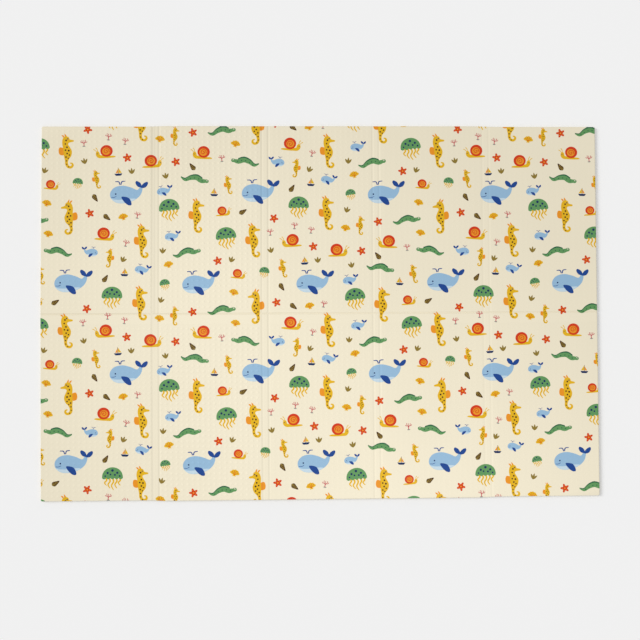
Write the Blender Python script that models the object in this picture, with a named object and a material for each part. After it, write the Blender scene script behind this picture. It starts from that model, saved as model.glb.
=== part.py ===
"""A folding play mat: one slab of closed-cell foam in a smooth printed film, lying open and flat.

The slab is creased into ten panels, five along its length and two across it, so that it folds
up like a screen. +X runs along its length, +Y across it, and the floor is z = 0.
"""

import math

import bmesh
import bpy
from mathutils import Matrix, Vector

# Overall size, in metres
MAT_LENGTH = 1.800
MAT_WIDTH = 1.206
MAT_THICKNESS = 0.010
PANELS_ALONG = 5

# Rounding of the slab
CORNER_RADIUS = 0.005
CORNER_STEPS = 3
TOP_RIM_RADIUS = 0.0022
TOP_RIM_STEPS = 3
UNDER_RIM_CHAMFER = 0.0008

# Creases across the mat, between its five columns of panels: a pair of pressed grooves,
# in a shallow valley where the foam has stayed a little sunk
PAIR_SPACING = 0.021
PAIR_GROOVE_HALF_WIDTH = 0.0055
VALLEY_HALF_WIDTH = 0.030

# Each crease: shift from an even division of the length, depth of its two grooves, and of
# its valley. Those on the left have been folded more and are pressed deeper
CREASES = (
    {"shift": 0.0065, "groove": 0.0010, "valley": 0.0009},
    {"shift": -0.0010, "groove": 0.0010, "valley": 0.0003},
    {"shift": -0.0010, "groove": 0.0008, "valley": 0.0004},
    {"shift": -0.0020, "groove": 0.0004, "valley": 0.0004},
)

# The long fold, between the two rows of panels: one deeper groove with a raised lip beside it
FOLD_SHIFT = -0.0045
FOLD_GROOVE_HALF_WIDTH = 0.0042
FOLD_GROOVE_DEPTH = 0.0024
LIP_OFFSET = 0.0095
LIP_HALF_WIDTH = 0.0055
LIP_HEIGHT = 0.0004

# How far each panel's outer edge stands out from a true rectangle, as the foam has relaxed
END_EDGE_SWAY = {"far": -0.0011, "near": -0.0017}
MIDDLE_EDGE_SWAY = {"far": 0.0007, "near": 0.0008}
LEFT_EDGE_SWAY = {"near": 0.0000, "fold": 0.0018, "far": -0.0024}
RIGHT_EDGE_SWAY = {"near": 0.0008, "fold": 0.0006, "far": 0.0006}

# Film on the foam
CREAM_FILM = (228, 219, 195)
FILM_ROUGHNESS = 0.48

WELD_DISTANCE = 0.00005


def clear_scene():
    for found in list(bpy.data.objects):
        bpy.data.objects.remove(found, do_unlink=True)


def crease_centres():
    """Places along X of the pressed pairs of grooves."""
    panel = MAT_LENGTH / PANELS_ALONG
    return [
        -MAT_LENGTH / 2 + panel * (number + 1) + crease["shift"]
        for number, crease in enumerate(CREASES)
    ]


def bell(distance, half_width):
    """1 at the middle of a soft groove or ridge, falling smoothly to 0 at its half width."""
    if abs(distance) >= half_width:
        return 0.0
    return 0.5 + 0.5 * math.cos(math.pi * distance / half_width)


def surface_lift(x, y):
    """How far the mat's face stands above its plain thickness at a place."""
    lift = 0.0
    for centre, crease in zip(crease_centres(), CREASES):
        lift -= crease["valley"] * bell(x - centre, VALLEY_HALF_WIDTH)
        for side in (-0.5, 0.5):
            groove = centre + side * PAIR_SPACING
            lift -= crease["groove"] * bell(x - groove, PAIR_GROOVE_HALF_WIDTH)
    lift += LIP_HEIGHT * bell(y - FOLD_SHIFT - LIP_OFFSET, LIP_HALF_WIDTH)
    fold_drop = FOLD_GROOVE_DEPTH * bell(y - FOLD_SHIFT, FOLD_GROOVE_HALF_WIDTH)
    # Where two grooves cross, the deeper one sets the level
    if fold_drop > 0.0:
        lift = min(lift, -fold_drop)
    return lift


def groove_stations(centre, half_width):
    """Cuts that give a soft groove its curved section."""
    return [centre + half_width * step for step in (-1.0, -0.5, 0.0, 0.5, 1.0)]


def stations_along():
    """Every place along X where the slab's face needs an edge."""
    stations = []
    ends = [-MAT_LENGTH / 2] + crease_centres() + [MAT_LENGTH / 2]
    for start, stop in zip(ends, ends[1:]):
        stations.append((start + stop) / 2)
    for centre in crease_centres():
        for side in (-0.5, 0.5):
            stations += groove_stations(centre + side * PAIR_SPACING, PAIR_GROOVE_HALF_WIDTH)
        stations += [
            centre - VALLEY_HALF_WIDTH,
            centre - VALLEY_HALF_WIDTH * 0.65,
            centre,
            centre + VALLEY_HALF_WIDTH * 0.65,
            centre + VALLEY_HALF_WIDTH,
        ]
    return stations


def stations_across():
    """Every place along Y where the slab's face needs an edge."""
    stations = groove_stations(FOLD_SHIFT, FOLD_GROOVE_HALF_WIDTH)
    stations += [FOLD_SHIFT + LIP_OFFSET, FOLD_SHIFT + LIP_OFFSET + LIP_HALF_WIDTH]
    stations += [FOLD_SHIFT - MAT_WIDTH / 4, FOLD_SHIFT + MAT_WIDTH / 4]
    return stations


def blend(value, start, stop, low, high):
    """A straight run from low to high between two places, level beyond them."""
    share = min(max((value - start) / (stop - start), 0.0), 1.0)
    return low + (high - low) * share


def edge_sway(x, y, side):
    """Outward sway of the far or near edge: the end panels and the middle ones differ."""
    first, *_, last = crease_centres()
    if x < first + VALLEY_HALF_WIDTH:
        edge = first
        share = blend(x, edge - VALLEY_HALF_WIDTH, edge + VALLEY_HALF_WIDTH, 0.0, 1.0)
    else:
        edge = last
        share = blend(x, edge - VALLEY_HALF_WIDTH, edge + VALLEY_HALF_WIDTH, 1.0, 0.0)
    return END_EDGE_SWAY[side] + (MIDDLE_EDGE_SWAY[side] - END_EDGE_SWAY[side]) * share


def end_sway(y, sways):
    """Outward sway of the left or right end, read between its corners and the fold."""
    if y < FOLD_SHIFT:
        return blend(y, -MAT_WIDTH / 2, FOLD_SHIFT, sways["near"], sways["fold"])
    return blend(y, FOLD_SHIFT, MAT_WIDTH / 2, sways["fold"], sways["far"])


def relaxed_place(x, y):
    """Where a point of the true rectangle comes to lie on the mat as it is."""
    share_x = x / MAT_LENGTH + 0.5
    share_y = y / MAT_WIDTH + 0.5
    left, right = end_sway(y, LEFT_EDGE_SWAY), end_sway(y, RIGHT_EDGE_SWAY)
    near, far = edge_sway(x, y, "near"), edge_sway(x, y, "far")
    return (
        x - left * (1.0 - share_x) + right * share_x,
        y - near * (1.0 - share_y) + far * share_y,
    )


def rim_edges(bm, height):
    """Edges of the flat face that lies at one height."""
    return [
        edge for edge in bm.edges
        if all(abs(vert.co.z - height) < WELD_DISTANCE for vert in edge.verts)
    ]


def round_edges(bm, edges, radius, steps):
    bmesh.ops.bevel(
        bm, geom=edges, offset=radius, offset_type="OFFSET", segments=steps,
        profile=0.5, affect="EDGES", material=-1,
    )


def cut_across(bm, stations, normal):
    """Cut the whole slab with a row of upright planes."""
    for place in sorted(stations):
        geometry = bm.verts[:] + bm.edges[:] + bm.faces[:]
        bmesh.ops.bisect_plane(bm, geom=geometry, plane_co=normal * place, plane_no=normal)


def make_slab():
    """The foam slab, cut from a block, rounded and then pressed."""
    bm = bmesh.new()
    size = Matrix.Diagonal((MAT_LENGTH, MAT_WIDTH, MAT_THICKNESS, 1.0))
    raise_up = Matrix.Translation((0.0, 0.0, MAT_THICKNESS / 2))
    bmesh.ops.create_cube(bm, size=1.0, matrix=raise_up @ size)

    upright = [edge for edge in bm.edges if abs(edge.verts[0].co.z - edge.verts[1].co.z) > 0.001]
    round_edges(bm, upright, CORNER_RADIUS, CORNER_STEPS)
    round_edges(bm, rim_edges(bm, MAT_THICKNESS), TOP_RIM_RADIUS, TOP_RIM_STEPS)
    round_edges(bm, rim_edges(bm, 0.0), UNDER_RIM_CHAMFER, 1)

    cut_across(bm, stations_along(), Vector((1.0, 0.0, 0.0)))
    cut_across(bm, stations_across(), Vector((0.0, 1.0, 0.0)))

    # Press the grooves into the face, leaving the underside flat on the floor
    for vert in bm.verts:
        x, y, z = vert.co
        depth_share = z / MAT_THICKNESS
        vert.co.z = z + surface_lift(x, y) * depth_share
        vert.co.x, vert.co.y = relaxed_place(x, y)

    # The underside is one plain face
    under = [face for face in bm.faces if all(vert.co.z < WELD_DISTANCE for vert in face.verts)]
    bmesh.ops.dissolve_faces(bm, faces=under)
    bmesh.ops.remove_doubles(bm, verts=bm.verts[:], dist=WELD_DISTANCE)
    bmesh.ops.recalc_face_normals(bm, faces=bm.faces[:])
    return bm


def linear_colour(srgb):
    """Screen colour, 0 to 255, as the linear values that a shader takes."""
    channels = []
    for level in srgb:
        share = level / 255
        channels.append(share / 12.92 if share <= 0.04045 else ((share + 0.055) / 1.055) ** 2.4)
    return (*channels, 1.0)


def film_material():
    material = bpy.data.materials.new("cream_film")
    material.use_nodes = True
    shader = material.node_tree.nodes["Principled BSDF"]
    shader.inputs["Base Color"].default_value = linear_colour(CREAM_FILM)
    shader.inputs["Roughness"].default_value = FILM_ROUGHNESS
    shader.inputs["Metallic"].default_value = 0.0
    return material


def build():
    clear_scene()
    collection = bpy.data.collections.new("play_mat")
    bpy.context.scene.collection.children.link(collection)

    bm = make_slab()
    mesh = bpy.data.meshes.new("play_mat")
    bm.to_mesh(mesh)
    bm.free()
    mesh.materials.append(film_material())
    mat = bpy.data.objects.new("play_mat", mesh)
    collection.objects.link(mat)
    print("play_mat:", len(mesh.vertices), "points,", len(mesh.polygons), "faces")


build()
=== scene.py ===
# %% [markdown]
# # A folding play mat
#
# The real object is a slab of soft closed-cell foam, about as thick as a finger, with a smooth
# printed film on its face. Heat-pressed creases divide it into ten panels, so that it folds up
# like a screen. Here it lies open on the floor.
#
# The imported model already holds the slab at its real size. This lesson gives it its finish: a
# crisp print, the embossed film, the cut foam at its edge, and soft studio light.

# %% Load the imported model
import math
import random

import bmesh
import bpy
from mathutils import Euler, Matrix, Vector
from mathutils.geometry import delaunay_2d_cdt


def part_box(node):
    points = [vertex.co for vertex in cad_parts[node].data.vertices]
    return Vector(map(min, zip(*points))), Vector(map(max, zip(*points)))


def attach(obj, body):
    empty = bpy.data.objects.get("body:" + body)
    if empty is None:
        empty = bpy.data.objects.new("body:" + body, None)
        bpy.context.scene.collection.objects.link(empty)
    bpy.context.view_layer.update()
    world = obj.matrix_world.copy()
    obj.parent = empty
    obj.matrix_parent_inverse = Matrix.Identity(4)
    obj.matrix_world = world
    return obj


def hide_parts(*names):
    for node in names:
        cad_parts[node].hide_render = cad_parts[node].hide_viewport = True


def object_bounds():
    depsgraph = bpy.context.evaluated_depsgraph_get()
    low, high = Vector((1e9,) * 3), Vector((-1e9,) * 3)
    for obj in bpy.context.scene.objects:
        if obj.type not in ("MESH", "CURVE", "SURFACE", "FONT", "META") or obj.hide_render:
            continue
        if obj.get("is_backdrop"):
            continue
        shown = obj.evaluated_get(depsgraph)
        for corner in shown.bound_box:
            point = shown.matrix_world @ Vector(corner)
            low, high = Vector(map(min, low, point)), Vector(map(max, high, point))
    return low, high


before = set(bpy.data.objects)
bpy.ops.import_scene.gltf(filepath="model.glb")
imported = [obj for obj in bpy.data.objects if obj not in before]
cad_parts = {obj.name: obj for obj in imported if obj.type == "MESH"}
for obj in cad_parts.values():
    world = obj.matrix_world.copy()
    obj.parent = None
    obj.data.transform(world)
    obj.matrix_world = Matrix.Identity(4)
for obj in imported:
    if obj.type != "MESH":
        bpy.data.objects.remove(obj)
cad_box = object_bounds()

scene = bpy.context.scene

# %% [markdown]
# ## The camera
#
# The mat was photographed from almost straight above, by a camera a little to the left of its
# middle. Such a view could be an orthographic one, but the photo's sides are not quite parallel,
# so a real lens at a real height is used. A long lens, high up, keeps the mat's shape true.

# %% Set the camera
PHOTO_SIDE = 640
FOCAL_LENGTH_PIXELS = 1200
SENSOR_WIDTH = 36.0
CAMERA_PLACE = (-0.1526, -0.1435, 3.8847)
CAMERA_TURN_DEGREES = (1.742, -2.175, -0.368)

camera_data = bpy.data.cameras.new("overhead_camera")
camera_data.sensor_width = SENSOR_WIDTH
camera_data.lens = FOCAL_LENGTH_PIXELS / PHOTO_SIDE * SENSOR_WIDTH
camera_data.clip_end = 100.0
camera = bpy.data.objects.new("overhead_camera", camera_data)
camera.location = CAMERA_PLACE
camera.rotation_euler = Euler([math.radians(turn) for turn in CAMERA_TURN_DEGREES])
scene.collection.objects.link(camera)
scene.camera = camera
scene.view_settings.view_transform = "Standard"
scene.view_settings.look = "None"
print("lens, mm:", round(camera_data.lens, 1))

# %% [markdown]
# ## The mat's sizes
#
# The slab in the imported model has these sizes, so the finished mat is worked out from the same
# ones. Each crease between the columns of panels is a pair of narrow grooves in a shallow
# valley. The long fold between the two rows is one deeper groove, with a lip on its far side.

# %% Name the sizes, in metres
MAT_LENGTH = 1.800
MAT_WIDTH = 1.206
MAT_THICKNESS = 0.010
PANELS_ALONG = 5

CORNER_RADIUS = 0.005
TOP_RIM_RADIUS = 0.0022
UNDER_RIM_CHAMFER = 0.0008

PAIR_SPACING = 0.021
PAIR_GROOVE_HALF_WIDTH = 0.0055
VALLEY_HALF_WIDTH = 0.030
CREASES = (
    {"shift": 0.0065, "groove": 0.0010, "valley": 0.0009},
    {"shift": -0.0010, "groove": 0.0010, "valley": 0.0003},
    {"shift": -0.0010, "groove": 0.0008, "valley": 0.0004},
    {"shift": -0.0020, "groove": 0.0004, "valley": 0.0004},
)

FOLD_SHIFT = -0.0045
FOLD_GROOVE_HALF_WIDTH = 0.0042
FOLD_GROOVE_DEPTH = 0.0024
LIP_OFFSET = 0.0095
LIP_HALF_WIDTH = 0.0055
LIP_HEIGHT = 0.0004

END_EDGE_SWAY = {"far": -0.0011, "near": -0.0017}
MIDDLE_EDGE_SWAY = {"far": 0.0007, "near": 0.0008}
LEFT_EDGE_SWAY = {"near": 0.0000, "fold": 0.0018, "far": -0.0024}
RIGHT_EDGE_SWAY = {"near": 0.0008, "fold": 0.0006, "far": 0.0006}

PANEL_LENGTH = MAT_LENGTH / PANELS_ALONG
CREASE_PLACES = [
    -MAT_LENGTH / 2 + PANEL_LENGTH * (number + 1) + crease["shift"]
    for number, crease in enumerate(CREASES)
]
low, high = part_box("play_mat")
print("packed slab, mm:", [round((b - a) * 1000, 1) for a, b in zip(low, high)])
print("creases, m:", [round(place, 4) for place in CREASE_PLACES])


# %% [markdown]
# ## The lie of the face
#
# Foam that is pressed with a hot bar keeps a soft groove, not a sharp cut. A raised cosine
# describes that section well: it leaves the face level and reaches its depth smoothly. One
# function gives the height of the face everywhere, so the print can follow it later.

# %% Work out the height of the face
def bell(distance, half_width):
    """1 at the middle of a soft groove or ridge, falling smoothly to 0 at its half width."""
    if abs(distance) >= half_width:
        return 0.0
    return 0.5 + 0.5 * math.cos(math.pi * distance / half_width)


def crease_lift(x):
    """Height given to the face by the creases between the columns of panels."""
    lift = 0.0
    for centre, crease in zip(CREASE_PLACES, CREASES):
        lift -= crease["valley"] * bell(x - centre, VALLEY_HALF_WIDTH)
        for side in (-0.5, 0.5):
            groove = centre + side * PAIR_SPACING
            lift -= crease["groove"] * bell(x - groove, PAIR_GROOVE_HALF_WIDTH)
    return lift


def fold_drop(y):
    """Depth of the long fold's groove."""
    return FOLD_GROOVE_DEPTH * bell(y - FOLD_SHIFT, FOLD_GROOVE_HALF_WIDTH)


def lip_lift(y):
    """Height of the lip beside the long fold."""
    return LIP_HEIGHT * bell(y - FOLD_SHIFT - LIP_OFFSET, LIP_HALF_WIDTH)


# %% [markdown]
# ## Lines to shape the face along
#
# A mesh can only bend at its edges. So the face gets a set of straight lines along every groove,
# close together where it curves and absent where it is flat. One line more on each side of a
# groove, just outside it, keeps the smooth shading of the groove from spreading over the panel.

# %% Place the lines
GROOVE_DIVISIONS = 8
VALLEY_DIVISIONS = 6
LIP_DIVISIONS = 4
GUARD_DISTANCE = 0.0008


def spread(centre, half_width, divisions):
    """Evenly spaced places from one side of a groove to the other."""
    step = 2 * half_width / divisions
    return [centre - half_width + step * number for number in range(divisions + 1)]


def guarded(centre, half_width):
    """Places across a groove, with a guard line just outside each side of it."""
    outside = half_width + GUARD_DISTANCE
    return [centre - outside, *spread(centre, half_width, GROOVE_DIVISIONS), centre + outside]


lines_along_x = []
for centre in CREASE_PLACES:
    for side in (-0.5, 0.5):
        lines_along_x += guarded(centre + side * PAIR_SPACING, PAIR_GROOVE_HALF_WIDTH)
    lines_along_x += [
        place
        for place in spread(centre, VALLEY_HALF_WIDTH, VALLEY_DIVISIONS)
        if abs(abs(place - centre) - PAIR_SPACING / 2) > PAIR_GROOVE_HALF_WIDTH + GUARD_DISTANCE
    ]
lines_along_x.sort()

lines_along_y = guarded(FOLD_SHIFT, FOLD_GROOVE_HALF_WIDTH)
lines_along_y += spread(FOLD_SHIFT + LIP_OFFSET, LIP_HALF_WIDTH, LIP_DIVISIONS)
lines_along_y.sort()
print("lines to shape along:", len(lines_along_x), "across and", len(lines_along_y), "lengthwise")


# %% [markdown]
# Points of the print will fall between these lines. Their height is read in a straight run
# between the two nearest lines, so that they lie in the faces of the mesh and leave no dents.

# %% Read heights between the lines
def between(value, places, heights):
    """Straight-line reading of a height between the two nearest places."""
    if value <= places[0] or value >= places[-1]:
        return 0.0
    first = 0
    last = len(places) - 1
    while last - first > 1:
        middle = (first + last) // 2
        if places[middle] <= value:
            first = middle
        else:
            last = middle
    share = (value - places[first]) / (places[last] - places[first])
    return heights[first] + (heights[last] - heights[first]) * share


crease_heights = [crease_lift(place) for place in lines_along_x]
fold_drops = [fold_drop(place) for place in lines_along_y]
lip_heights = [lip_lift(place) for place in lines_along_y]


def surface_lift(x, y):
    """How far the face stands above its plain thickness at a place."""
    lift = between(x, lines_along_x, crease_heights) + between(y, lines_along_y, lip_heights)
    drop = between(y, lines_along_y, fold_drops)
    return min(lift, -drop) if drop > 0.0 else lift


print("deepest groove, mm:", round(-1000 * surface_lift(0.0, FOLD_SHIFT), 2))


# %% [markdown]
# ## The outline as it lies
#
# No foam mat lies as a true rectangle. The end panels have drawn in by a millimetre or two, and
# the middle ones stand out. The same small sway moves every point of the mesh sideways.

# %% Sway the outline
def blend(value, start, stop, first, last):
    """A straight run from first to last between two places, level beyond them."""
    share = min(max((value - start) / (stop - start), 0.0), 1.0)
    return first + (last - first) * share


def edge_sway(x, side):
    """Outward sway of the far or near edge."""
    end, middle = END_EDGE_SWAY[side], MIDDLE_EDGE_SWAY[side]
    first, last = CREASE_PLACES[0], CREASE_PLACES[-1]
    if x < first + VALLEY_HALF_WIDTH:
        return blend(x, first - VALLEY_HALF_WIDTH, first + VALLEY_HALF_WIDTH, end, middle)
    return blend(x, last - VALLEY_HALF_WIDTH, last + VALLEY_HALF_WIDTH, middle, end)


def end_sway(y, sways):
    """Outward sway of the left or right end."""
    if y < FOLD_SHIFT:
        return blend(y, -MAT_WIDTH / 2, FOLD_SHIFT, sways["near"], sways["fold"])
    return blend(y, FOLD_SHIFT, MAT_WIDTH / 2, sways["fold"], sways["far"])


def relaxed_place(x, y):
    """Where a point of the true rectangle comes to lie on the mat as it is."""
    share_x = x / MAT_LENGTH + 0.5
    share_y = y / MAT_WIDTH + 0.5
    return (
        x - end_sway(y, LEFT_EDGE_SWAY) * (1 - share_x) + end_sway(y, RIGHT_EDGE_SWAY) * share_x,
        y - edge_sway(x, "near") * (1 - share_y) + edge_sway(x, "far") * share_y,
    )


# %% [markdown]
# ## Drawing tools for the print
#
# A printer lays down flat shapes of ink. Each shape here is a closed outline in millimetres:
# an oval, a smooth curve through a few points, a ribbon that follows a line, or a rosette.
# An image could carry the print too, but outlines stay sharp however close the camera comes.

# %% Make the drawing tools
def oval(x, y, radius_x, radius_y, turn=0.0, steps=16):
    """An ellipse, turned by some degrees."""
    cosine, sine = math.cos(math.radians(turn)), math.sin(math.radians(turn))
    outline = []
    for number in range(steps):
        angle = math.tau * number / steps
        across, up = radius_x * math.cos(angle), radius_y * math.sin(angle)
        outline.append((x + across * cosine - up * sine, y + across * sine + up * cosine))
    return outline


def dot(x, y, radius):
    """A small round spot."""
    return oval(x, y, radius, radius, steps=12)


def spline_point(before, start, stop, after, share):
    """A point of the smooth curve that passes through start and stop."""
    return tuple(
        0.5 * (
            2 * b + (c - a) * share
            + (2 * a - 5 * b + 4 * c - d) * share ** 2
            + (3 * b - a - 3 * c + d) * share ** 3
        )
        for a, b, c, d in zip(before, start, stop, after)
    )


def smooth(*points, steps=4):
    """A closed smooth curve through a few points."""
    outline = []
    for number in range(len(points)):
        before, start, stop, after = (points[(number + k - 1) % len(points)] for k in range(4))
        outline += [spline_point(before, start, stop, after, k / steps) for k in range(steps)]
    return outline


def ribbon(*stops, steps=4, round_end=True):
    """A band along a smooth line: each stop is x, y and the band's width there."""
    line = []
    for number in range(len(stops) - 1):
        before, after = stops[max(number - 1, 0)], stops[min(number + 2, len(stops) - 1)]
        start, stop = stops[number], stops[number + 1]
        line += [spline_point(before, start, stop, after, k / steps) for k in range(steps)]
    line.append(stops[-1])
    left, right = [], []
    for number, (x, y, width) in enumerate(line):
        back, ahead = line[max(number - 1, 0)], line[min(number + 1, len(line) - 1)]
        run_x, run_y = ahead[0] - back[0], ahead[1] - back[1]
        reach = width / 2 / math.hypot(run_x, run_y)
        left.append((x - run_y * reach, y + run_x * reach))
        right.append((x + run_y * reach, y - run_x * reach))
    if round_end:
        # The end bulges by half its width, as a brush leaves it
        x, y, width = line[-1]
        run = Vector((x - line[-2][0], y - line[-2][1])).normalized() * width / 2
        left.append((x + run.x, y + run.y))
    return left + right[::-1]


def rosette(x, y, radius, depth, lobes, steps=8):
    """A closed ring that swells into rounded lobes, the first one at the top."""
    outline = []
    for number in range(lobes * steps):
        angle = math.tau * number / (lobes * steps)
        reach = radius * (1 + depth * math.cos(lobes * angle))
        outline.append((x - reach * math.sin(angle), y + reach * math.cos(angle)))
    return outline


# %% [markdown]
# ## The inks
#
# The film is cream, and the print uses thirteen flat inks: four blues, two greens, warm yellows
# and reds, and a few dark and muted ones for the small things. They are given as screen
# colours, which is how a printer's sheet would list them.

# %% List the inks
INKS = {
    "cream": (228, 219, 195),
    "sky": (142, 176, 203),
    "pale_blue": (186, 205, 216),
    "royal": (22, 64, 134),
    "navy": (12, 38, 84),
    "green": (91, 142, 86),
    "deep_green": (34, 92, 62),
    "ochre": (216, 170, 22),
    "orange": (222, 140, 30),
    "red": (198, 53, 14),
    "pink": (184, 74, 80),
    "olive": (134, 112, 44),
    "brown": (72, 44, 14),
    "grey": (142, 150, 140),
}


# %% [markdown]
# ## The print: large sea animals
#
# The print is a plain seaside pattern drawn for this mat. A whale is a rounded body with a
# raised tail, and large dark flukes and a fin that give it weight. A seahorse is tall and
# narrow, with a curled tail and brown spots. Each outline needs only a few points, because the
# curve between them does the rounding.

# %% Draw a whale and a seahorse
def whale():
    body = smooth(
        (50, -3), (47, 12), (33, 24), (10, 27), (-14, 20), (-31, 12), (-40, 20),
        (-46, 22), (-47, 12), (-40, -4), (-24, -17), (0, -25), (26, -25), (43, -16),
    )
    belly = smooth(
        (47.6, -9), (40, -13), (20, -15), (-4, -13), (-26, -14.6), (-10, -21.6),
        (8, -25), (27, -24.3), (42, -16.6),
    )
    left_fluke = smooth((-43, 18), (-50, 30), (-62, 35), (-64, 28), (-56, 18))
    right_fluke = smooth((-45, 19), (-42, 32), (-31, 39), (-27, 33), (-33, 22))
    fin = smooth((16, -6), (12, -18), (0, -31), (-11, -33), (-12, -24), (-4, -10))
    return [
        ("sky", body),
        ("royal", left_fluke),
        ("royal", right_fluke),
        ("pale_blue", belly),
        ("royal", fin),
        ("navy", dot(33, 3, 2.4)),
        ("royal", ribbon((16, 30, 3.0), (13, 39, 3.2), (3, 40, 2.2))),
        ("royal", ribbon((19, 30, 3.0), (22, 39, 3.2), (32, 40, 2.2))),
        ("royal", ribbon((31, -3.5, 1.2), (38, -6.5, 1.6), (46.5, -6, 1.4))),
    ]


def seahorse():
    body = smooth(
        (24, 33), (24, 28.5), (12, 27), (8, 22), (13, 12), (17, 1), (14, -12), (6, -22),
        (3, -31), (5, -39), (11, -41), (13, -36), (9, -34), (10, -31), (17, -33), (19, -41),
        (12, -48), (1, -46), (-5, -36), (-5, -24), (-7, -10), (-7, 4), (-8, 16), (-9, 28),
        (-6, 40), (2, 46), (11, 43), (14, 36),
    )
    fin = smooth((-6, 11), (-17, 15), (-21, 5), (-18, -6), (-6, -7))
    crest = [smooth((-3, 42), (-9, 50), (-2, 48)), smooth((1, 45), (0, 54), (6, 46))]
    spots = (
        (3, 34, 2.6), (0, 24, 2.3), (4, 14, 2.6), (-1, 6, 2.4), (8, 4, 2.8), (3, -4, 2.5),
        (9, -9, 2.2), (-1, -14, 2.4), (5, -18, 1.9), (-1, -25, 2.0), (-1, -35, 1.8), (4, -43, 1.7),
    )
    return [
        ("orange", fin),
        *[("orange", tuft) for tuft in crest],
        ("ochre", body),
        *[("brown", dot(*spot)) for spot in spots],
        ("navy", dot(8, 38, 1.9)),
    ]


# %% [markdown]
# ## The print: snails, jellyfish and eels
#
# These are the middle sizes. The snail's shell is a red disc, an orange one on it, and a ribbon
# whose points run inwards round a spiral. The jellyfish's bell is an arch with a scalloped hem,
# over wavy arms. The eel is one ribbon that swells and tapers, and its crest is a second one.

# %% Draw a snail, a jellyfish and an eel
def snail():
    foot = smooth(
        (-30, -19), (-14, -21), (10, -21), (24, -20), (32, -12), (32, -2), (26, 2),
        (21, -3), (19, -10), (8, -12), (-12, -14), (-26, -15),
    )
    turns = []
    for number in range(9):
        angle = math.radians(200 - 62 * number)
        reach = 10.5 * (1 - number / 9.5)
        turns.append((reach * math.cos(angle) - 1, reach * math.sin(angle) + 1, 2.2))
    return [
        ("ochre", foot),
        ("ochre", ribbon((27, 0, 2.2), (28, 8, 1.9), (32, 13, 2.8))),
        ("ochre", ribbon((29, -1, 2.2), (34, 5, 1.9), (39, 8, 2.8))),
        ("red", oval(-2, 2, 20, 19, steps=32)),
        ("orange", oval(-1, 1, 13, 12, steps=26)),
        ("red", ribbon(*turns, steps=3)),
        ("navy", dot(28, -6, 1.5)),
    ]


def jellyfish():
    arms = []
    for x, length in ((-17, 19), (-8.5, 26), (0, 30), (8.5, 26), (17, 19)):
        stops = ((0.0, 0.0, 4.4), (2.6, 0.33, 4.0), (-2.6, 0.66, 3.4), (2.0, 1.0, 2.2))
        line = [(x + swing, -length * share, width) for swing, share, width in stops]
        arms.append(ribbon(*line))
    arch = []
    for number in range(25):
        angle = math.pi * number / 24
        arch.append((26 * math.cos(angle), 27 * math.sin(angle) ** 0.85 - 1))
    hem = []
    for number in range(1, 30):
        share = number / 30
        hem.append((-26 + 52 * share, -1 - 3.2 * abs(math.sin(math.pi * 5 * share))))
    spots = (
        (0, 18, 3.2), (-12, 12, 2.8), (12, 12, 2.8), (-5, 8, 2.2), (6, 7, 2.4),
        (-18, 4, 2.0), (18, 4, 2.2),
    )
    return [
        *[("ochre", arm) for arm in arms],
        ("green", arch + hem),
        *[("navy", dot(*spot)) for spot in spots],
    ]


def eel():
    body = (
        (-36, 2, 1.5), (-24, -4, 6.5), (-10, 3, 10.5), (6, 6, 12.5), (20, 0, 12.5), (33, 1, 8.0),
    )
    crest = [(x, y + width / 2 + 1, 1 + width / 3) for x, y, width in body[:5]]
    spots = ((-20, -3), (-10, 2), (1, 5), (12, 4), (22, 0))
    return [
        ("deep_green", ribbon(*crest)),
        ("green", ribbon(*body)),
        ("green", oval(34, 1, 6, 5.2)),
        ("cream", dot(35, 3.2, 2.0)),
        ("navy", dot(35.4, 3.2, 1.1)),
        *[("deep_green", dot(x, y, 1.6)) for x, y in spots],
    ]


# %% [markdown]
# ## The print: small things between them
#
# A print like this has small motifs in all its gaps. Starfish, shells, boats, seaweed and coral
# are each a few simple shapes. They are what makes the pattern look busy from a step away.

# %% Draw the small motifs
def starfish():
    tips = [math.radians(90 + 72 * number) for number in range(5)]
    return [
        ("red", rosette(0, 0, 9.2, 0.34, 5)),
        ("orange", dot(0, 0, 2.2)),
        *[("orange", dot(6.4 * math.cos(tip), 6.4 * math.sin(tip), 1.1)) for tip in tips],
    ]


def scallop():
    fan = []
    for number in range(37):
        angle = math.radians(10 + 160 * number / 36)
        reach = 19 + 2.2 * abs(math.sin(math.pi * 5 * number / 36))
        fan.append((reach * math.cos(angle), reach * math.sin(angle) - 9))
    hinge = [(-4, -11), (-8, -15), (8, -15), (4, -11)]
    ribs = []
    for degrees in (42, 74, 106, 138):
        angle = math.radians(degrees)
        end = (17.5 * math.cos(angle), 17.5 * math.sin(angle) - 9, 1.8)
        ribs.append(ribbon((0, -10, 1.2), end, steps=2))
    return [("ochre", fan + hinge), *[("red", rib) for rib in ribs]]


def cone_shell():
    bands = [
        ribbon((x, -half, 1.8), (x + 2, 0, 2.4), (x, half, 1.8), round_end=False)
        for x, half in ((-5, 3.0), (0, 5.0), (5, 6.3))
    ]
    return [
        ("brown", smooth((15, 1), (9, 8), (0, 6), (-13, 0), (0, -6), (9, -7))),
        *[("olive", band) for band in bands],
        ("olive", oval(11.5, 0.8, 2.4, 4.4, turn=8, steps=12)),
    ]


def seaweed():
    return [
        ("olive", smooth((0, -7), (-8, -1), (-11, 9), (-4, 5))),
        ("olive", smooth((0, -7), (8, -1), (11, 9), (4, 5))),
        ("olive", smooth((0, -7), (-3.4, 4), (0, 14), (3.4, 4))),
    ]


def boat():
    return [
        ("navy", [(-13, -4), (-9.5, -9.5), (-7, -11), (7, -11), (9.5, -9.5), (13, -4)]),
        ("ochre", [(-1, -2), (-1, 14), (-11, -2)]),
        ("orange", [(1, -2), (9, -2), (1, 11)]),
        ("brown", ribbon((0, -4, 1.2), (0, 15, 1.2), steps=2)),
    ]


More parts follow.
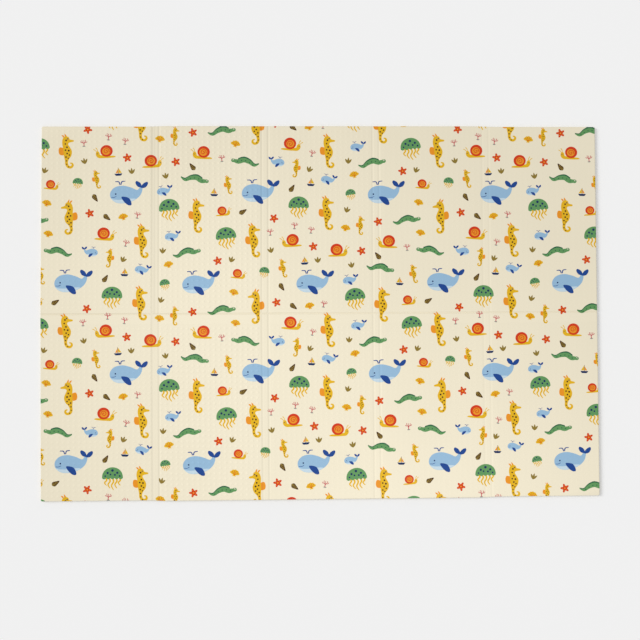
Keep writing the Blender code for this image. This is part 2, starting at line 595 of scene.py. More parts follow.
def coral():
    branches = (
        ((0, -10, 2.8), (0, -2, 2.4), (-5, 3, 2.1), (-6, 9, 2.0)),
        ((0, -8, 2.4), (1, -1, 2.2), (5, 4, 2.0), (5, 10, 2.0)),
        ((0, -2, 2.0), (0.5, 4, 1.9), (0, 9, 1.9)),
        ((-3, 1, 1.8), (-9, 2, 1.7), (-10, 6, 1.7)),
        ((4, 2, 1.8), (9, 2, 1.7), (10, 5, 1.7)),
    )
    return [
        ("grey", oval(0, -10.5, 5, 2)),
        *[("pink", ribbon(*branch, steps=3)) for branch in branches],
    ]


# %% [markdown]
# ## Laying out one repeat
#
# A printing roller repeats its pattern every turn. This one repeats every 0.60 m along the mat
# and every 0.58 m across it, and each next column drops by half a repeat, so that no rows show.
# The motifs could be placed by hand. It is quicker, and as even, to drop them in order of size,
# each at the best of many random places: the one with the most room round it. The random
# numbers are seeded, so the print is the same every time.

# %% Say what one repeat holds
REPEAT_LENGTH = 600.0
REPEAT_WIDTH = 580.0
COLUMN_DROP = REPEAT_WIDTH / 2
PRINT_SEED = 4
TRIES = 260
# Motifs of one kind count as nearer to each other than they are, so that kinds mix
SAME_KIND_SHARE = 0.55

STOCK = (
    {"draw": whale, "count": 3, "scale": 1.08, "tilt": 6},
    {"draw": seahorse, "count": 5, "scale": 1.12, "tilt": 6},
    {"draw": snail, "count": 4, "scale": 1.0, "tilt": 5},
    {"draw": jellyfish, "count": 3, "scale": 1.28, "tilt": 10},
    {"draw": eel, "count": 4, "scale": 1.2, "tilt": 12},
    {"draw": snail, "count": 2, "scale": 0.74, "tilt": 6},
    {"draw": seahorse, "count": 4, "scale": 0.62, "tilt": 10},
    {"draw": jellyfish, "count": 2, "scale": 0.64, "tilt": 12},
    {"draw": whale, "count": 4, "scale": 0.46, "tilt": 10},
    {"draw": starfish, "count": 6, "scale": 1.22, "tilt": 30},
    {"draw": scallop, "count": 5, "scale": 0.8, "tilt": 20},
    {"draw": boat, "count": 3, "scale": 1.0, "tilt": 6},
    {"draw": cone_shell, "count": 5, "scale": 1.0, "tilt": 60},
    {"draw": seaweed, "count": 7, "scale": 0.95, "tilt": 25},
    {"draw": coral, "count": 6, "scale": 1.0, "tilt": 15},
)


# %% [markdown]
# Each motif counts as an upright box. The room between two boxes is read across the edges of the
# repeat too, because its right side meets the left side of the next one.

# %% Place the motifs of one repeat
def middle_and_reach(shapes):
    """Centre of a motif, and half its width and height."""
    xs = [x for _, outline in shapes for x, _ in outline]
    ys = [y for _, outline in shapes for _, y in outline]
    middle = ((min(xs) + max(xs)) / 2, (min(ys) + max(ys)) / 2)
    return middle, ((max(xs) - min(xs)) / 2, (max(ys) - min(ys)) / 2)


def room_between(first, second):
    """Gap between two upright boxes, read across the edges of the repeat too."""
    least = math.inf
    for column in (-1, 0, 1):
        shift = column * REPEAT_LENGTH
        gap_x = abs(first["x"] - second["x"] - shift) - first["wide"] - second["wide"]
        for row in (-1, 0, 1):
            drop = row * REPEAT_WIDTH + column * COLUMN_DROP
            gap_y = abs(first["y"] - second["y"] - drop) - first["tall"] - second["tall"]
            if max(gap_x, gap_y) > 0:
                gap = math.hypot(max(gap_x, 0.0), max(gap_y, 0.0))
            else:
                gap = max(gap_x, gap_y)
            least = min(least, gap)
    return least * SAME_KIND_SHARE if first["draw"] is second["draw"] else least


def lay_out_repeat():
    """Every motif of one repeat, with its place, facing and turn."""
    dice = random.Random(PRINT_SEED)
    placed = []
    for entry in STOCK:
        _, (wide, tall) = middle_and_reach(entry["draw"]())
        for _ in range(entry["count"]):
            best_room, best = -math.inf, None
            for _ in range(TRIES):
                trial = {
                    "draw": entry["draw"],
                    "scale": entry["scale"],
                    "wide": wide * entry["scale"],
                    "tall": tall * entry["scale"],
                    "x": dice.uniform(0, REPEAT_LENGTH),
                    "y": dice.uniform(0, REPEAT_WIDTH),
                }
                room = min((room_between(trial, other) for other in placed), default=0.0)
                if room > best_room:
                    best_room, best = room, trial
            best["facing"] = dice.choice((-1, 1))
            best["turn"] = math.radians(dice.uniform(-entry["tilt"], entry["tilt"]))
            placed.append(best)
    return placed


repeat = lay_out_repeat()
print("motifs in one repeat:", len(repeat))


# %% [markdown]
# ## The whole print
#
# The repeat is now rolled over the mat. Motifs run across the creases and off the edges, as they
# do when a mat is cut from a long printed sheet. A mirrored outline runs the other way round,
# and the cutting step needs them all anticlockwise, so each one is turned round where needed.

# %% Roll the repeat over the mat
MILLIMETRE = 0.001
REPEAT_ORIGIN = (-MAT_LENGTH / 2 + 0.140, -MAT_WIDTH / 2 + 0.060)
# Enough repeats to pass every edge of the mat
REPEAT_COLUMNS = range(-1, 4)
REPEAT_ROWS = range(-3, 5)
# A turned motif can reach a little past its upright box
TURNED_REACH = 1.1
FINEST_STEP = 0.00045


def thinned(outline):
    """The outline without points that crowd closer together than the finest step."""
    kept = [outline[0]]
    for point in outline[1:]:
        if (point - kept[-1]).length > FINEST_STEP:
            kept.append(point)
    while len(kept) > 3 and (kept[-1] - kept[0]).length < FINEST_STEP:
        kept.pop()
    return kept


def anticlockwise(outline):
    """The outline in the order that keeps its inside on the left."""
    area = sum(a.x * b.y - b.x * a.y for a, b in zip(outline, outline[1:] + outline[:1]))
    return outline if area > 0 else outline[::-1]


def printed(motif, x, y):
    """A motif's shapes in metres, scaled, mirrored and turned to its place on the mat."""
    shapes = motif["draw"]()
    (middle_x, middle_y), _ = middle_and_reach(shapes)
    size = motif["scale"] * MILLIMETRE
    cosine, sine = math.cos(motif["turn"]), math.sin(motif["turn"])
    for ink, outline in shapes:
        points = []
        for across, up in outline:
            across = (across - middle_x) * motif["facing"] * size
            up = (up - middle_y) * size
            turned_x = x + across * cosine - up * sine
            turned_y = y + across * sine + up * cosine
            points.append(Vector((turned_x, turned_y)))
        yield ink, anticlockwise(thinned(points))


def roll_out():
    """Every ink shape that touches the mat, in the order it is printed."""
    shapes = []
    for column in REPEAT_COLUMNS:
        for row in REPEAT_ROWS:
            for motif in repeat:
                x = REPEAT_ORIGIN[0] + (motif["x"] + (column - 1) * REPEAT_LENGTH) * MILLIMETRE
                drop = (row - 1) * REPEAT_WIDTH + column * COLUMN_DROP
                y = REPEAT_ORIGIN[1] + (motif["y"] + drop) * MILLIMETRE
                reach = TURNED_REACH * max(motif["wide"], motif["tall"]) * MILLIMETRE
                if abs(x) < MAT_LENGTH / 2 + reach and abs(y) < MAT_WIDTH / 2 + reach:
                    shapes += printed(motif, x, y)
    return shapes


ink_shapes = roll_out()
print("ink shapes:", len(ink_shapes), "points:", sum(len(outline) for _, outline in ink_shapes))


# %% [markdown]
# ## Cutting the face along its print
#
# On the real mat the print is part of the film, with no thickness. Laying thin shapes on top
# would raise it. Here the outlines are cut into the face itself: a constrained triangulation
# takes every outline and every groove line and returns triangles that follow all of them. Each
# triangle knows which shapes cover it, and the last one printed gives it its ink.

# %% Cut the face
FACE_INSET = TOP_RIM_RADIUS
CORNER_STEPS = 5
SMALLEST_GAP = 1e-6


def face_outline():
    """The flat of the face: the mat's rounded rectangle, less the rim's rounding."""
    radius = CORNER_RADIUS - FACE_INSET
    reach_x, reach_y = MAT_LENGTH / 2 - CORNER_RADIUS, MAT_WIDTH / 2 - CORNER_RADIUS
    outline = []
    for quarter, (side_x, side_y) in enumerate(((1, 1), (-1, 1), (-1, -1), (1, -1))):
        for number in range(CORNER_STEPS + 1):
            angle = math.radians(90 * (quarter + number / CORNER_STEPS))
            outline.append(Vector((
                side_x * reach_x + radius * math.cos(angle),
                side_y * reach_y + radius * math.sin(angle),
            )))
    return outline


def cut_face():
    """Points, triangles and each triangle's ink, for the flat of the face."""
    points, loops, lines = [], [], []
    for outline in [face_outline()] + [outline for _, outline in ink_shapes]:
        loops.append(range(len(points), len(points) + len(outline)))
        points += outline
    reach_x, reach_y = MAT_LENGTH / 2 - FACE_INSET, MAT_WIDTH / 2 - FACE_INSET
    guard_x, guard_y = reach_x - GUARD_DISTANCE, reach_y - GUARD_DISTANCE
    for x in [-guard_x, *lines_along_x, guard_x]:
        lines.append((len(points), len(points) + 1))
        points += [Vector((x, -reach_y)), Vector((x, reach_y))]
    for y in [-guard_y, *lines_along_y, guard_y]:
        lines.append((len(points), len(points) + 1))
        points += [Vector((-reach_x, y)), Vector((reach_x, y))]
    cut = delaunay_2d_cdt(points, lines, [list(loop) for loop in loops], 1, SMALLEST_GAP, True)
    triangles, inks = [], []
    for triangle, covers in zip(cut[2], cut[5]):
        if 0 not in covers:
            continue
        top = max(covers)
        triangles.append(triangle)
        inks.append("cream" if top == 0 else ink_shapes[top - 1][0])
    return cut[0], triangles, inks


face_points, face_triangles, face_inks = cut_face()
print("triangles of the face:", len(face_triangles))


# %% [markdown]
# ## Closing the slab
#
# The face is now given its edge. The film bends over a small round rim, still printed, and
# below it the foam shows where the mat was cut. Each ring of the edge is drawn out from the one
# before, so that every point of the print's border carries on down the side. Last, one plain
# face closes the underside.

# %% Build the slab
RIM_STEPS = 4
CUT_STEPS = 4
# The cut foam swells a little halfway down, where the blade let it go
EDGE_SWELL = 0.00025
MATERIAL_ORDER = list(INKS) + ["foam", "underside"]


def outward(point):
    """The way out of the mat, sideways, at a point near its edge."""
    reach_x, reach_y = MAT_LENGTH / 2 - CORNER_RADIUS, MAT_WIDTH / 2 - CORNER_RADIUS
    core = Vector((min(max(point.x, -reach_x), reach_x), min(max(point.y, -reach_y), reach_y), 0))
    return Vector((point.x - core.x, point.y - core.y, 0.0)).normalized()


def edge_rings():
    """For each ring of the edge: how far out, how high, and whether film still covers it."""
    for number in range(1, RIM_STEPS + 1):
        angle = math.pi / 2 * number / RIM_STEPS
        out = TOP_RIM_RADIUS * math.sin(angle)
        yield out, MAT_THICKNESS - TOP_RIM_RADIUS * (1 - math.cos(angle)), True
    top, bottom = MAT_THICKNESS - TOP_RIM_RADIUS, UNDER_RIM_CHAMFER
    for number in range(1, CUT_STEPS + 1):
        share = number / CUT_STEPS
        swell = EDGE_SWELL * math.sin(math.pi * share)
        yield TOP_RIM_RADIUS + swell, top + (bottom - top) * share, False
    yield TOP_RIM_RADIUS - UNDER_RIM_CHAMFER, 0.0, False


def build_slab():
    """The whole mat as a closed mesh, before its grooves are pressed."""
    bm = bmesh.new()
    verts = [bm.verts.new((x, y, MAT_THICKNESS)) for x, y in face_points]
    for triangle, ink in zip(face_triangles, face_inks):
        face = bm.faces.new([verts[number] for number in triangle])
        face.material_index = MATERIAL_ORDER.index(ink)
    bmesh.ops.delete(bm, geom=[vert for vert in bm.verts if not vert.link_faces], context="VERTS")

    rim = [edge for edge in bm.edges if edge.is_boundary]
    start = {vert: vert.co.copy() for edge in rim for vert in edge.verts}
    for out, height, filmed in edge_rings():
        inks = {edge: edge.link_faces[0].material_index for edge in rim}
        drawn = bmesh.ops.extrude_edge_only(bm, edges=rim)["geom"]
        fresh = [item for item in drawn if isinstance(item, bmesh.types.BMVert)]
        # Each new point hangs from the one it was drawn from
        moved = {}
        for vert in fresh:
            joined = (edge.other_vert(vert) for edge in vert.link_edges)
            parent = next(other for other in joined if other in start)
            moved[vert] = start[parent]
            place = start[parent] + outward(start[parent]) * out
            vert.co = (place.x, place.y, height)
        for face in (item for item in drawn if isinstance(item, bmesh.types.BMFace)):
            parent = next(edge for edge in face.edges if edge in inks)
            face.material_index = inks[parent] if filmed else MATERIAL_ORDER.index("foam")
        rim = [item for item in drawn if isinstance(item, bmesh.types.BMEdge) and item.is_boundary]
        start = moved
    under = bmesh.ops.contextual_create(bm, geom=rim)["faces"]
    for face in under:
        face.material_index = MATERIAL_ORDER.index("underside")
    return bm


slab = build_slab()
print("points:", len(slab.verts), "faces:", len(slab.faces))

# %% [markdown]
# ## Pressing and relaxing
#
# The hot bar presses the grooves into the whole thickness at once: most at the face, and not at
# all at the underside, which stays flat on the floor. Then the outline relaxes as described
# above. A flat map of the face is stored too, for anyone who wants to paint on it later.

# %% Press the grooves and store the map
MAP_NAME = "OFBake"
MAP_MARGIN = 0.004
# Faces that look up more than this lie in the map's upper part, with the print
LOOKS_UP = 0.3
LOOKS_DOWN = -0.9
UNDERSIDE_SHARE = 0.46
# The four edges lie as strips, one above another, at the map's lower right
STRIP_CORNER = (0.50, 0.02)
STRIP_LENGTH = 0.49
STRIP_PITCH = 0.05
STRIP_WIDTH = 0.03


def mapped(place, normal):
    """Where a point goes in the map: the face above, the underside and edges below it."""
    across, up = place.x / MAT_LENGTH + 0.5, place.y / MAT_WIDTH + 0.5
    tall = MAT_WIDTH / MAT_LENGTH
    inner = 1 - 2 * MAP_MARGIN
    if normal.z > LOOKS_UP:
        return MAP_MARGIN + inner * across, 1 - MAP_MARGIN - inner * tall * (1 - up)
    if normal.z < LOOKS_DOWN:
        return MAP_MARGIN + UNDERSIDE_SHARE * across, MAP_MARGIN + UNDERSIDE_SHARE * tall * up
    # Each of the four edges is a strip of its own
    share = place.z / MAT_THICKNESS
    if abs(normal.x) > abs(normal.y):
        strip, along = (0 if normal.x > 0 else 1), up
    else:
        strip, along = (2 if normal.y > 0 else 3), across
    left, bottom = STRIP_CORNER
    return left + STRIP_LENGTH * along, bottom + STRIP_PITCH * strip + STRIP_WIDTH * share


def press_and_map(bm):
    """Store the map and the shading of each face, then press the grooves and relax the outline."""
    layer = bm.loops.layers.uv.new(MAP_NAME)
    bmesh.ops.recalc_face_normals(bm, faces=bm.faces[:])
    for face in bm.faces:
        # Only the underside is shaded flat
        face.smooth = face.material_index != MATERIAL_ORDER.index("underside")
        for loop in face.loops:
            loop[layer].uv = mapped(loop.vert.co, face.normal)
    for vert in bm.verts:
        x, y, z = vert.co
        vert.co.z = z + surface_lift(x, y) * z / MAT_THICKNESS
        vert.co.x, vert.co.y = relaxed_place(x, y)


press_and_map(slab)
mat_mesh = bpy.data.meshes.new("printed_mat")
slab.to_mesh(mat_mesh)
slab.free()
mat = bpy.data.objects.new("printed_mat", mat_mesh)
scene.collection.objects.link(mat)
print("triangles:", sum(len(face.vertices) - 2 for face in mat_mesh.polygons))


# %% [markdown]
# ## Tools for the finishes
#
# A finish is a small tree of nodes. These helpers add a node, set its values and link it, so
# that each material below reads as a recipe. Screen colours are turned into the linear values
# that a shader takes.

# %% Make the helpers for materials
def linear(srgb):
    """Screen colour, 0 to 255, as linear values with full opacity."""
    channels = []
    for level in srgb:
        share = level / 255
        channels.append(share / 12.92 if share <= 0.04045 else ((share + 0.055) / 1.055) ** 2.4)
    return (*channels, 1.0)


class Finish:
    """A material under construction."""

    def __init__(self, name):
        self.material = bpy.data.materials.new(name)
        self.material.use_nodes = True
        self.tree = self.material.node_tree
        self.shader = self.tree.nodes["Principled BSDF"]

    def node(self, kind, inputs=None, **settings):
        """Add a node. An input is a plain value, or another node's output to link."""
        made = self.tree.nodes.new(kind)
        for name, value in settings.items():
            setattr(made, name, value)
        for key, value in (inputs or {}).items():
            if isinstance(value, bpy.types.NodeSocket):
                self.tree.links.new(value, made.inputs[key])
            else:
                made.inputs[key].default_value = value
        return made

    def math(self, operation, first, second=0.0, third=0.0):
        """One step of arithmetic, as an output to link."""
        inputs = {0: first, 1: second, 2: third}
        return self.node("ShaderNodeMath", inputs, operation=operation).outputs[0]

    def ramp(self, value, start, stop, low=0.0, high=1.0):
        """A soft step: low up to start, high from stop on."""
        inputs = {"Value": value, "From Min": start, "From Max": stop, "To Min": low, "To Max": high}
        made = self.node("ShaderNodeMapRange", inputs, interpolation_type="SMOOTHSTEP")
        return made.outputs["Result"]

    def place(self):
        """The place of each point on the mat, in metres."""
        return self.node("ShaderNodeTexCoord").outputs["Object"]

    def noise(self, place, scale, detail=2.0):
        """Cloudy values, mostly between 0.3 and 0.7."""
        inputs = {"Vector": place, "Scale": scale, "Detail": detail}
        return self.node("ShaderNodeTexNoise", inputs).outputs["Fac"]

    def bump(self, height, distance, strength=1.0, under=None):
        """Relief, on top of the relief under it if there is any."""
        inputs = {"Height": height, "Distance": distance, "Strength": strength}
        if under is not None:
            inputs["Normal"] = under
        return self.node("ShaderNodeBump", inputs).outputs["Normal"]

    def tint(self, colour, tone):
        """Feed the base colour, made lighter or darker by a tone."""
        inputs = {"Value": tone, "Color": linear(colour)}
        self.feed("Base Color", self.node("ShaderNodeHueSaturation", inputs).outputs["Color"])

    def feed(self, socket, value):
        """Give the main shader a value, or link an output to it."""
        if isinstance(value, bpy.types.NodeSocket):
            self.tree.links.new(value, self.shader.inputs[socket])
        else:
            self.shader.inputs[socket].default_value = value


# %% [markdown]
# ## The embossed film
#
# The film is pressed with a fine grid of low raised dots, 17 mm apart. A raised cosine along the
# mat times another across it has its peaks on just such a grid, so a few nodes of arithmetic
# draw it. The dots could be modelled, but there are some six and a half thousand of them, which
# takes the mesh far past 200,000 triangles. So they are relief in the material.
#
# The dots stop short of the creases, which leaves a plain strip along each fold. Every column of
# panels took the press differently: the dots are clearest on the second from the left and almost
# lost on the last two.

# %% Build the film's relief
DOT_PITCH = 0.01725
DOT_HEIGHT = 0.0008
PLAIN_STRIP = 0.0135
FOLD_STRIP_NEAR = 0.031
FOLD_STRIP_FAR = 0.006
STRIP_SOFTNESS = 0.003
# A band of painted shade beside the first groove of the first crease
SHADED_BAND_OFFSET = 0.0032
SHADED_BAND_HALF_WIDTH = 0.0045
# The long fold gets less painted shade than the creases
FOLD_SHADE_SHARE = 0.5
# How clear the dots are on each column of panels, from the left
DOTS_BY_PANEL = (0.65, 1.0, 0.42, 0.20, 0.14)


def dot_grid(finish, x, y):
    """Low raised dots, 0 to 1, on a square grid."""
    waves = []
    for place in (x, y):
        wave = finish.math("COSINE", finish.math("MULTIPLY", place, math.tau / DOT_PITCH))
        waves.append(finish.math("MULTIPLY_ADD", wave, 0.5, 0.5))
    product = finish.math("MULTIPLY", *waves)
    return finish.math("MULTIPLY", product, product)


def apart_from(finish, value, place):
    """How far a coordinate is from a place."""
    return finish.math("ABSOLUTE", finish.math("SUBTRACT", value, place))


def from_crease(finish, x):
    """Distance to the nearest crease between columns of panels."""
    nearest = apart_from(finish, x, CREASE_PLACES[0])
    for centre in CREASE_PLACES[1:]:
        nearest = finish.math("MINIMUM", nearest, apart_from(finish, x, centre))
    return nearest


def shaded_valley_band(finish, x, y):
    """1 on a band of painted shade beside the first groove of all, in the far row of panels."""
    middle = CREASE_PLACES[0] - PAIR_SPACING / 2 + SHADED_BAND_OFFSET
    from_middle = apart_from(finish, x, middle)
    band = finish.ramp(from_middle, SHADED_BAND_HALF_WIDTH, SHADED_BAND_HALF_WIDTH + STRIP_SOFTNESS, 1.0, 0.0)
    far_row = finish.ramp(y, FOLD_SHIFT - STRIP_SOFTNESS, FOLD_SHIFT + STRIP_SOFTNESS)
    return finish.math("MULTIPLY", band, far_row)


def groove_shade_mask(finish, nearest, x, y):
    """Where painted shade goes: 1 along the bottom of every groove, 0 beyond its sides."""
    from_groove = apart_from(finish, nearest, PAIR_SPACING / 2)
    pairs = finish.ramp(from_groove, 0.0, PAIR_GROOVE_HALF_WIDTH, 1.0, 0.0)
    from_fold = apart_from(finish, y, FOLD_SHIFT)
    fold = finish.ramp(from_fold, 0.0, FOLD_GROOVE_HALF_WIDTH, FOLD_SHADE_SHARE, 0.0)
    lines = finish.math("MAXIMUM", pairs, fold)
    return finish.math("MAXIMUM", lines, shaded_valley_band(finish, x, y))


def panel_field(finish, nearest, y):
    """1 on the embossed fields of the panels, 0 on the plain strips along the folds."""
    field = finish.ramp(nearest, PLAIN_STRIP, PLAIN_STRIP + STRIP_SOFTNESS)
    near, far = FOLD_SHIFT - FOLD_STRIP_NEAR, FOLD_SHIFT + FOLD_STRIP_FAR
    below = finish.ramp(y, near - STRIP_SOFTNESS, near, 1.0, 0.0)
    above = finish.ramp(y, far, far + STRIP_SOFTNESS)
    return finish.math("MULTIPLY", field, finish.math("ADD", below, above))


def dots_by_panel(finish, x):
    """The share of their full height that the dots have, column by column."""
    share = DOTS_BY_PANEL[0]
    for centre, before, after in zip(CREASE_PLACES, DOTS_BY_PANEL, DOTS_BY_PANEL[1:]):
        start, stop = centre - STRIP_SOFTNESS, centre + STRIP_SOFTNESS
        change = finish.ramp(x, start, stop, 0.0, after - before)
        share = finish.math("ADD", share, change)
    return share


# %% [markdown]
# ## Film and inks
#
# All inks lie under the same clear film, so they share its relief, grain and sheen and differ
# only in colour. Colour shifts by a percent or so over the mat, as print and foam do. The sheen
# is a soft satin one, a little uneven.

# %% Make the printed film in every ink
FILM_ROUGHNESS = (0.40, 0.47)
FILM_GLOSS = 0.2
# Painted shade and light: the embossed fields are a little darker than the plain strips, for the
# shade of their dots, and the strip between the two grooves of a crease and the grooves themselves
# more so, for the shade in them. The crown of each dot has a painted highlight, and the rim, where
# the film is drawn down over the edge, has a painted shade
FIELD_SHADE = 0.012
BETWEEN_SHADE = 0.020
GROOVE_SHADE = 0.066
PAINTED_CROWN_HIGHLIGHT = 0.036
RIM_SHADE = 0.035
RIM_SHADE_WIDTH = 0.005
# The painted shade in the creases is full at the left, and all but gone from the middle on
GROOVE_SHADE_FADE = (-0.30, 0.20)
GROOVE_SHADE_LEFT = 0.12

# Clouds of tone, and how much their size differs from ink to ink
CLOUD_SCALE = 2.6
CLOUD_SCALE_STEP = 0.1
CLOUD_TONE = (0.985, 1.0)
SPECKLE_SCALE = 700.0
SPECKLE_TONE = 0.012
SPECKLE_HEIGHT = 0.00002
# Broad, low waves in the film, which make its sheen uneven
WAVE_SCALE = 5.0
WAVE_HEIGHT = 0.0016
# Where nearly all values of a noise lie
NOISE_SPAN = (0.3, 0.7)
SHEEN_SPAN = (0.25, 0.75)


def rim_strip(finish, x, y):
    """Where the rim's painted shade goes: 1 at the mat's edges, 0 a few millimetres in from them."""
    strips = []
    for place, half in ((x, MAT_LENGTH / 2), (y, MAT_WIDTH / 2)):
        distance = finish.math("ABSOLUTE", place)
        strips.append(finish.ramp(distance, half - RIM_SHADE_WIDTH, half))
    return finish.math("MAXIMUM", *strips)


def film(name, colour, seed):
    """The embossed film over one ink."""
    finish = Finish(name)
    place = finish.place()
    split = finish.node("ShaderNodeSeparateXYZ", {"Vector": place})
    x, y = split.outputs["X"], split.outputs["Y"]

    # Broad, faint shifts of tone, and a fine speckle where the ink took unevenly
    nearest = from_crease(finish, x)
    field = panel_field(finish, nearest, y)
    groove_shade_fade = finish.ramp(x, *GROOVE_SHADE_FADE, 1.0, GROOVE_SHADE_LEFT)
    cloud = finish.noise(place, CLOUD_SCALE + CLOUD_SCALE_STEP * seed)
    speckle = finish.noise(place, SPECKLE_SCALE, detail=1.0)
    broad_tone = finish.ramp(cloud, *NOISE_SPAN, *CLOUD_TONE)
    fine_tone = finish.ramp(speckle, *NOISE_SPAN, -SPECKLE_TONE, SPECKLE_TONE)
    dots = finish.math("MULTIPLY", dot_grid(finish, x, y), field)
    dots = finish.math("MULTIPLY", dots, dots_by_panel(finish, x))
    # Painted shade along the grooves, the long fold and the band beside the first groove
    grooves = finish.math("MULTIPLY", groove_shade_mask(finish, nearest, x, y), groove_shade_fade)
    # Painted shade on the strip between the two grooves of each crease
    inner_edge = PAIR_SPACING / 2
    between_grooves_shade = finish.ramp(nearest, inner_edge - STRIP_SOFTNESS, inner_edge, 1.0, 0.0)
    between_grooves_shade = finish.math("MULTIPLY", between_grooves_shade, groove_shade_fade)
    # Painted shade over the embossed fields, for the shade of their dots
    shade = finish.math("MULTIPLY_ADD", field, -FIELD_SHADE, 1.0)
    shade = finish.math("MULTIPLY_ADD", between_grooves_shade, -BETWEEN_SHADE, shade)
    shade = finish.math("MULTIPLY_ADD", grooves, -GROOVE_SHADE, shade)
    # Painted shade along the mat's edges
    shade = finish.math("MULTIPLY_ADD", rim_strip(finish, x, y), -RIM_SHADE, shade)
    # Painted highlight on the crown of each dot
    shade = finish.math("MULTIPLY_ADD", dots, PAINTED_CROWN_HIGHLIGHT, shade)
    tone = finish.math("MULTIPLY", finish.math("ADD", broad_tone, fine_tone), shade)
    finish.tint(colour, tone)

    waves = finish.noise(place, WAVE_SCALE, detail=1.0)
    dotted = finish.bump(dots, DOT_HEIGHT)
    wavy = finish.bump(waves, WAVE_HEIGHT, under=dotted)
    finish.feed("Normal", finish.bump(speckle, SPECKLE_HEIGHT, under=wavy))
    finish.feed("Roughness", finish.ramp(cloud, *SHEEN_SPAN, *FILM_ROUGHNESS))
    finish.feed("Specular IOR Level", FILM_GLOSS)
    return finish.material


for number, (ink, colour) in enumerate(INKS.items()):
    mat_mesh.materials.append(film(f"film_{ink}", colour, number))
print("printed films:", len(mat_mesh.materials))


# %% [markdown]
# ## Cut foam and underside
#
# The cut edge shows the foam itself: much the same cream as the film, but matt and pitted with
# tiny closed cells. The underside is the same foam with a plain film pressed with the same dots,
# so that it grips the floor. It is not seen in the photo and is kept plain.

# %% Make the foam and the underside
FOAM_COLOUR = (229, 221, 200)
UNDERSIDE_COLOUR = (232, 226, 208)
CELLS_PER_METRE = 1300.0
# From the middle of a cell to its wall
CELL_SPAN = (0.0, 0.7)
# Painted shade in the hollow middle of each cell, lighter towards its wall
CELL_HOLLOW_SHADE = (0.90, 1.02)
CELL_ROUGHNESS = (0.92, 0.78)
CELL_DEPTH = 0.0003
CELL_RELIEF = 0.8
UNDERSIDE_CLOUD_SCALE = 4.0
UNDERSIDE_TONE = (0.97, 1.01)
UNDERSIDE_ROUGHNESS = (0.58, 0.66)


def foam():
    """Matt foam, cut across its closed cells."""
    finish = Finish("cut_foam")
    inputs = {"Vector": finish.place(), "Scale": CELLS_PER_METRE}
    cells = finish.node("ShaderNodeTexVoronoi", inputs).outputs["Distance"]
    finish.tint(FOAM_COLOUR, finish.ramp(cells, *CELL_SPAN, *CELL_HOLLOW_SHADE))
    finish.feed("Normal", finish.bump(cells, CELL_DEPTH, strength=CELL_RELIEF))
    finish.feed("Roughness", finish.ramp(cells, *CELL_SPAN, *CELL_ROUGHNESS))
    return finish.material


def underside():
    """Plain film, pressed with the same dots as the face."""
    finish = Finish("underside_film")
    place = finish.place()
    split = finish.node("ShaderNodeSeparateXYZ", {"Vector": place})
    cloud = finish.noise(place, UNDERSIDE_CLOUD_SCALE)
    finish.tint(UNDERSIDE_COLOUR, finish.ramp(cloud, *NOISE_SPAN, *UNDERSIDE_TONE))
    dots = dot_grid(finish, split.outputs["X"], split.outputs["Y"])
    finish.feed("Normal", finish.bump(dots, DOT_HEIGHT))
    finish.feed("Roughness", finish.ramp(cloud, *NOISE_SPAN, *UNDERSIDE_ROUGHNESS))
    return finish.material


mat_mesh.materials.append(foam())
mat_mesh.materials.append(underside())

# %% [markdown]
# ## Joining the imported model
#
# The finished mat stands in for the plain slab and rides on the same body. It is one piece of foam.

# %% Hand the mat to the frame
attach(mat, "root")
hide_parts("play_mat")

# %% [markdown]
# ## Floor and light
#
# The photo was taken in a bright studio, on a floor so pale that it shows no fall of light. An
# even glow from all round gives most of the light. A soft sun from the upper left leaves the
# thin shadow at the right and near edges. Two weak round lamps hang low: one past the mat's near
# edge, a little right of the middle, and one over its left half. They light the mat alone, and
# give it the broad bright patch that fades out towards its corners.

# %% Lay the floor and set the lights
FLOOR_SIDE = 200.0
FLOOR_COLOUR = (246, 246, 246)
FLOOR_ROUGHNESS = 0.9
GLOW_STRENGTH = 0.688
SUN_STRENGTH = 1.38
SUN_FROM = (-1.3, 0.36, 1.0)
SUN_SOFTNESS_DEGREES = 30.0
MAT_LAMPS = (
    {"name": "near_lamp", "place": (0.32, -1.0, 1.2), "size": 0.5, "power": 3.85},
    {"name": "left_lamp", "place": (-0.4, 0.0, 0.9), "size": 0.5, "power": 1.25},
)


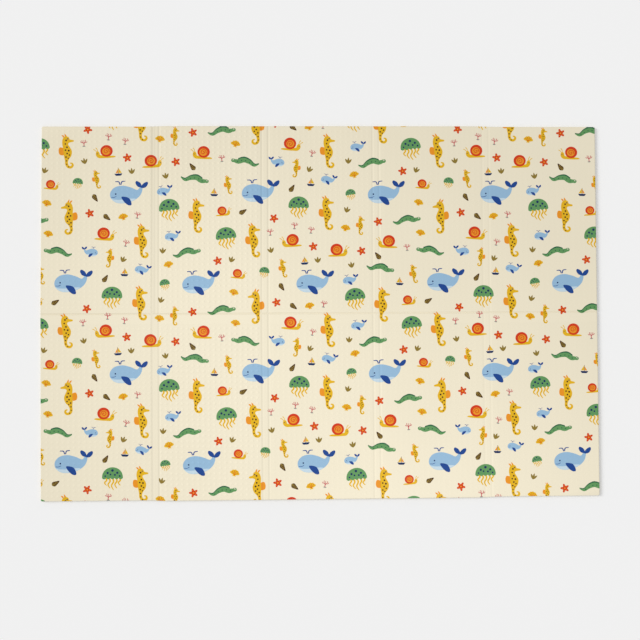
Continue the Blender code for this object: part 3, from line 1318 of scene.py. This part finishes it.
def make_floor():
    bm = bmesh.new()
    bmesh.ops.create_grid(bm, x_segments=1, y_segments=1, size=FLOOR_SIDE / 2)
    mesh = bpy.data.meshes.new("studio_floor")
    bm.to_mesh(mesh)
    bm.free()
    finish = Finish("pale_floor")
    finish.feed("Base Color", linear(FLOOR_COLOUR))
    finish.feed("Roughness", FLOOR_ROUGHNESS)
    finish.feed("Specular IOR Level", 0.0)
    mesh.materials.append(finish.material)
    floor = bpy.data.objects.new("studio_floor", mesh)
    scene.collection.objects.link(floor)
    floor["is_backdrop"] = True


def make_glow():
    world = bpy.data.worlds.new("studio_glow")
    scene.world = world
    world.use_nodes = True
    background = world.node_tree.nodes["Background"]
    background.inputs["Color"].default_value = (1.0, 1.0, 1.0, 1.0)
    background.inputs["Strength"].default_value = GLOW_STRENGTH


def aimed(name, light, place, target):
    """A lamp at a place, turned to shine at a target."""
    lamp = bpy.data.objects.new(name, light)
    lamp.location = place
    lamp.rotation_euler = (Vector(target) - Vector(place)).to_track_quat("-Z", "Y").to_euler()
    scene.collection.objects.link(lamp)
    return lamp


make_floor()
make_glow()

sun = bpy.data.lights.new("soft_sun", "SUN")
sun.energy = SUN_STRENGTH
sun.angle = math.radians(SUN_SOFTNESS_DEGREES)
aimed("soft_sun", sun, SUN_FROM, (0, 0, 0))

mat_alone = bpy.data.collections.new("lit_by_low_lamps")
mat_alone.objects.link(mat)
for entry in MAT_LAMPS:
    disk = bpy.data.lights.new(entry["name"], "AREA")
    disk.shape = "DISK"
    disk.size = entry["size"]
    disk.energy = entry["power"]
    x, y, _ = entry["place"]
    lamp = aimed(entry["name"], disk, entry["place"], (x, y, 0))
    lamp.visible_camera = False
    lamp.light_linking.receiver_collection = mat_alone

# %% [markdown]
# ## The size of the finished mat
#
# The finished mat has to fill the same box as the imported slab. Both boxes are printed.

# %% Print both sizes
bpy.context.view_layer.update()
new_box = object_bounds()
sizes = {
    "cad": [[float(value) for value in corner] for corner in cad_box],
    "visual": [[float(value) for value in corner] for corner in new_box],
}
print("packed box:", sizes["cad"])
print("finished box:", sizes["visual"])
